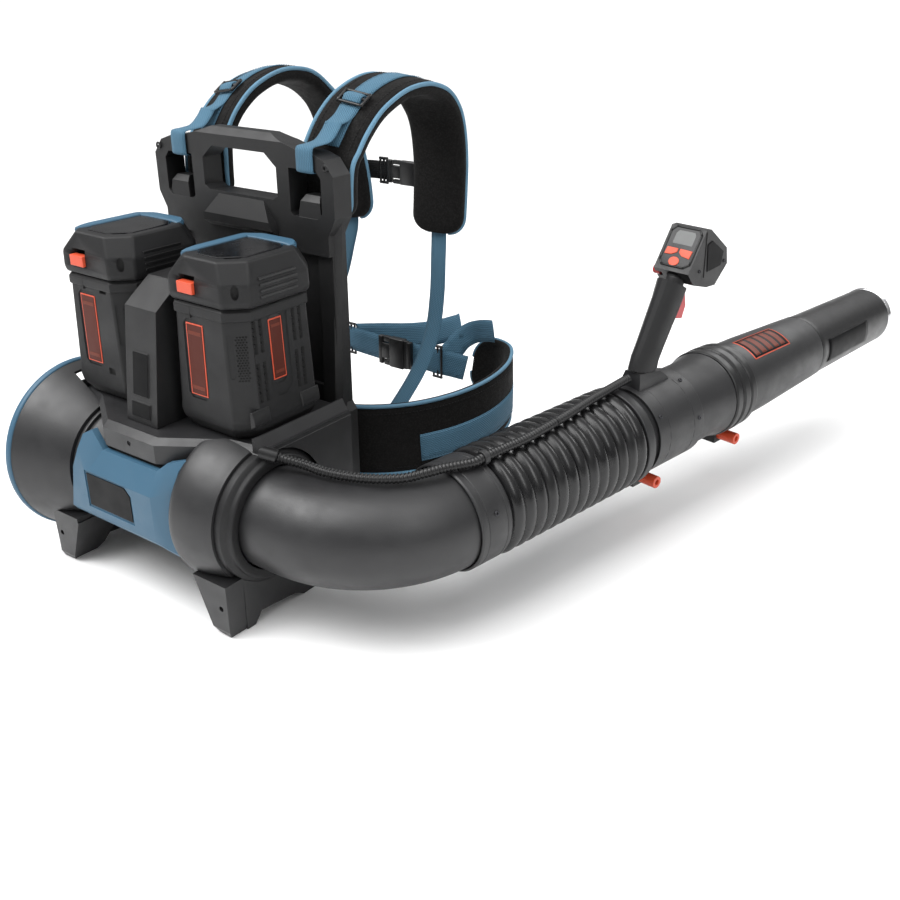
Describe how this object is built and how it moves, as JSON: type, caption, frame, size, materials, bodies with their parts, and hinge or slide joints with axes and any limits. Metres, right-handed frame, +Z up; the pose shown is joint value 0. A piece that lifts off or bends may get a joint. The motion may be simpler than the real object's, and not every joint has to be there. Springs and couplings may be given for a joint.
{
  "type": "backpack leaf blower",
  "caption": "Battery backpack leaf blower: axial fan on a skid stand, upright battery packs, back frame with padded harness, and a swivelling blow tube with a control handle.",
  "frame": {"origin": "centre of the rear stand bar's sole on the mid-plane of the back frame", "axes": "+Z up, +Y the way the wearer faces, +X the wearer's right, the side the blow tube is on"},
  "size_m": [0.7963, 1.1803, 0.584],
  "materials": {
    "charcoal": "fine texture",
    "charcoal_soft": "fine texture",
    "blue": "satin",
    "orange": "satin",
    "red": "satin",
    "black_gloss": "gloss",
    "rubber": "matte",
    "fabric": "woven mesh",
    "webbing": "woven",
    "web_black": "satin",
    "strap_black": "woven",
    "steel": "polished",
    "motor": "machined",
    "board": "lacquered"
  },
  "bodies": {
    "blower": {"back_frame": "charcoal", "back_pad": "fabric", "battery_deck": "charcoal", "cable_gland": "rubber", "cable_lower": "rubber", "chest_buckle": "web_black", "chest_strap": "strap_black", "control_tower": "charcoal", "controller_board": "board", "fan_housing": "charcoal", "flow_straightener": "charcoal_soft", "housing_cover": "blue", "inlet_bell": "charcoal", "inlet_guard": "charcoal", "inlet_rim_ring": "blue", "lower_webbing_left": "webbing", "lower_webbing_right": "webbing", "motor": "motor", "outlet_bell": "charcoal", "outlet_collar": "charcoal_soft", "shoulder_adjuster_left": "web_black", "shoulder_adjuster_right": "web_black", "shoulder_pad_left": "fabric", "shoulder_pad_right": "fabric", "shoulder_webbing_left": "webbing", "shoulder_webbing_right": "webbing", "stand": "charcoal", "waist_belt": "fabric", "waist_buckle": "web_black", "waist_webbing": "webbing"},
    "rotor": {"impeller": "charcoal_soft", "motor_shaft": "steel"},
    "elbow_body": {"elbow": "charcoal", "elbow_clamp_ring": "charcoal"},
    "hose": {"bellows": "rubber", "cable_upper": "rubber"},
    "blow_tube": {"tube_1": "charcoal", "handle_clamp": "charcoal", "handle_grip": "charcoal_soft", "control_head": "charcoal", "display_lens": "black_gloss", "coupling_collar": "charcoal_soft"},
    "extension": {"tube_2": "charcoal"},
    "nozzle_body": {"nozzle": "charcoal", "nozzle_tip_ring": "steel"},
    "knob_rear": {"lock_pin_rear": "orange"},
    "knob_front": {"lock_pin_front": "orange"},
    "trigger": {"trigger": "red"},
    "lock_off": {"lock_off_button": "red"},
    "key_left": {"button_left": "orange"},
    "key_right": {"button_right": "orange"},
    "key_power": {"button_power": "orange"},
    "battery_left": {"battery_left_case": "charcoal_soft", "battery_left_lid": "charcoal", "battery_left_handle": "blue"},
    "latch_left": {"battery_left_latch": "orange"},
    "battery_right": {"battery_right_case": "charcoal_soft", "battery_right_lid": "charcoal", "battery_right_handle": "blue"},
    "latch_right": {"battery_right_latch": "orange"}
  },
  "joints": [
    {"name": "fan_spin", "type": "hinge", "parent": "blower", "child": "rotor", "pos_m": [0, -0.166, 0.129], "axis": [1, 0, 0], "continuous": true},
    {"name": "elbow_swivel", "type": "hinge", "parent": "blower", "child": "elbow_body", "pos_m": [0.16, -0.166, 0.129], "axis": [1, 0, 0], "range_deg": [-30, 45], "deforming": ["cable_lower"]},
    {"name": "hose_yaw", "type": "hinge", "parent": "elbow_body", "child": "hose", "pos_m": [0.34843, 0.03511, 0.13545], "axis": [-0.0061, -0.0308, 0.9995], "range_deg": [-15, 15], "deforming": ["bellows", "cable_upper"]},
    {"name": "hose_pitch", "type": "hinge", "parent": "hose", "child": "blow_tube", "pos_m": [0.37348, 0.16159, 0.1395], "axis": [0.981, -0.1942, 0], "range_deg": [-12, 12], "deforming": ["bellows", "cable_upper"]},
    {"name": "extension_slide", "type": "slide", "parent": "blow_tube", "child": "extension", "axis": [0.1941, 0.9805, 0.0314], "range_m": [0, 0.025]},
    {"name": "nozzle_twist", "type": "hinge", "parent": "extension", "child": "nozzle_body", "pos_m": [0.46938, 0.64594, 0.15502], "axis": [0.1941, 0.9805, 0.0314], "range_deg": [0, 35]},
    {"name": "rear_knob_turn", "type": "hinge", "parent": "blow_tube", "child": "knob_rear", "pos_m": [0.41663, 0.27656, 0.07227], "axis": [0.981, -0.1942, 0], "range_deg": [0, 180]},
    {"name": "front_knob_turn", "type": "hinge", "parent": "blow_tube", "child": "knob_front", "pos_m": [0.45273, 0.4589, 0.07911], "axis": [0.981, -0.1942, 0], "range_deg": [0, 180]},
    {"name": "trigger_pull", "type": "hinge", "parent": "blow_tube", "child": "trigger", "pos_m": [0.40953, 0.34365, 0.31441], "axis": [-0.981, 0.1942, 0], "range_deg": [0, 9], "stiffness_Nm_per_rad": 0.6},
    {"name": "lock_off_press", "type": "slide", "parent": "blow_tube", "child": "lock_off", "axis": [0.981, -0.1942, 0], "range_m": [0, 0.003], "stiffness_N_per_m": 400},
    {"name": "left_key_press", "type": "slide", "parent": "blow_tube", "child": "key_left", "axis": [0.1649, 0.8327, -0.5285], "range_m": [0, 0.0012], "stiffness_N_per_m": 400},
    {"name": "right_key_press", "type": "slide", "parent": "blow_tube", "child": "key_right", "axis": [0.1649, 0.8327, -0.5285], "range_m": [0, 0.0012], "stiffness_N_per_m": 400},
    {"name": "power_key_press", "type": "slide", "parent": "blow_tube", "child": "key_power", "axis": [0.1649, 0.8327, -0.5285], "range_m": [0, 0.0012], "stiffness_N_per_m": 400},
    {"name": "battery_left_lift", "type": "slide", "parent": "blower", "child": "battery_left", "axis": [0, 0, 1], "range_m": [0, 0.16]},
    {"name": "latch_left_press", "type": "slide", "parent": "battery_left", "child": "latch_left", "axis": [0, 1, 0], "range_m": [0, 0.003], "stiffness_N_per_m": 500},
    {"name": "battery_right_lift", "type": "slide", "parent": "blower", "child": "battery_right", "axis": [0, 0, 1], "range_m": [0, 0.16]},
    {"name": "latch_right_press", "type": "slide", "parent": "battery_right", "child": "latch_right", "axis": [0, 1, 0], "range_m": [0, 0.003], "stiffness_N_per_m": 500}
  ]
}
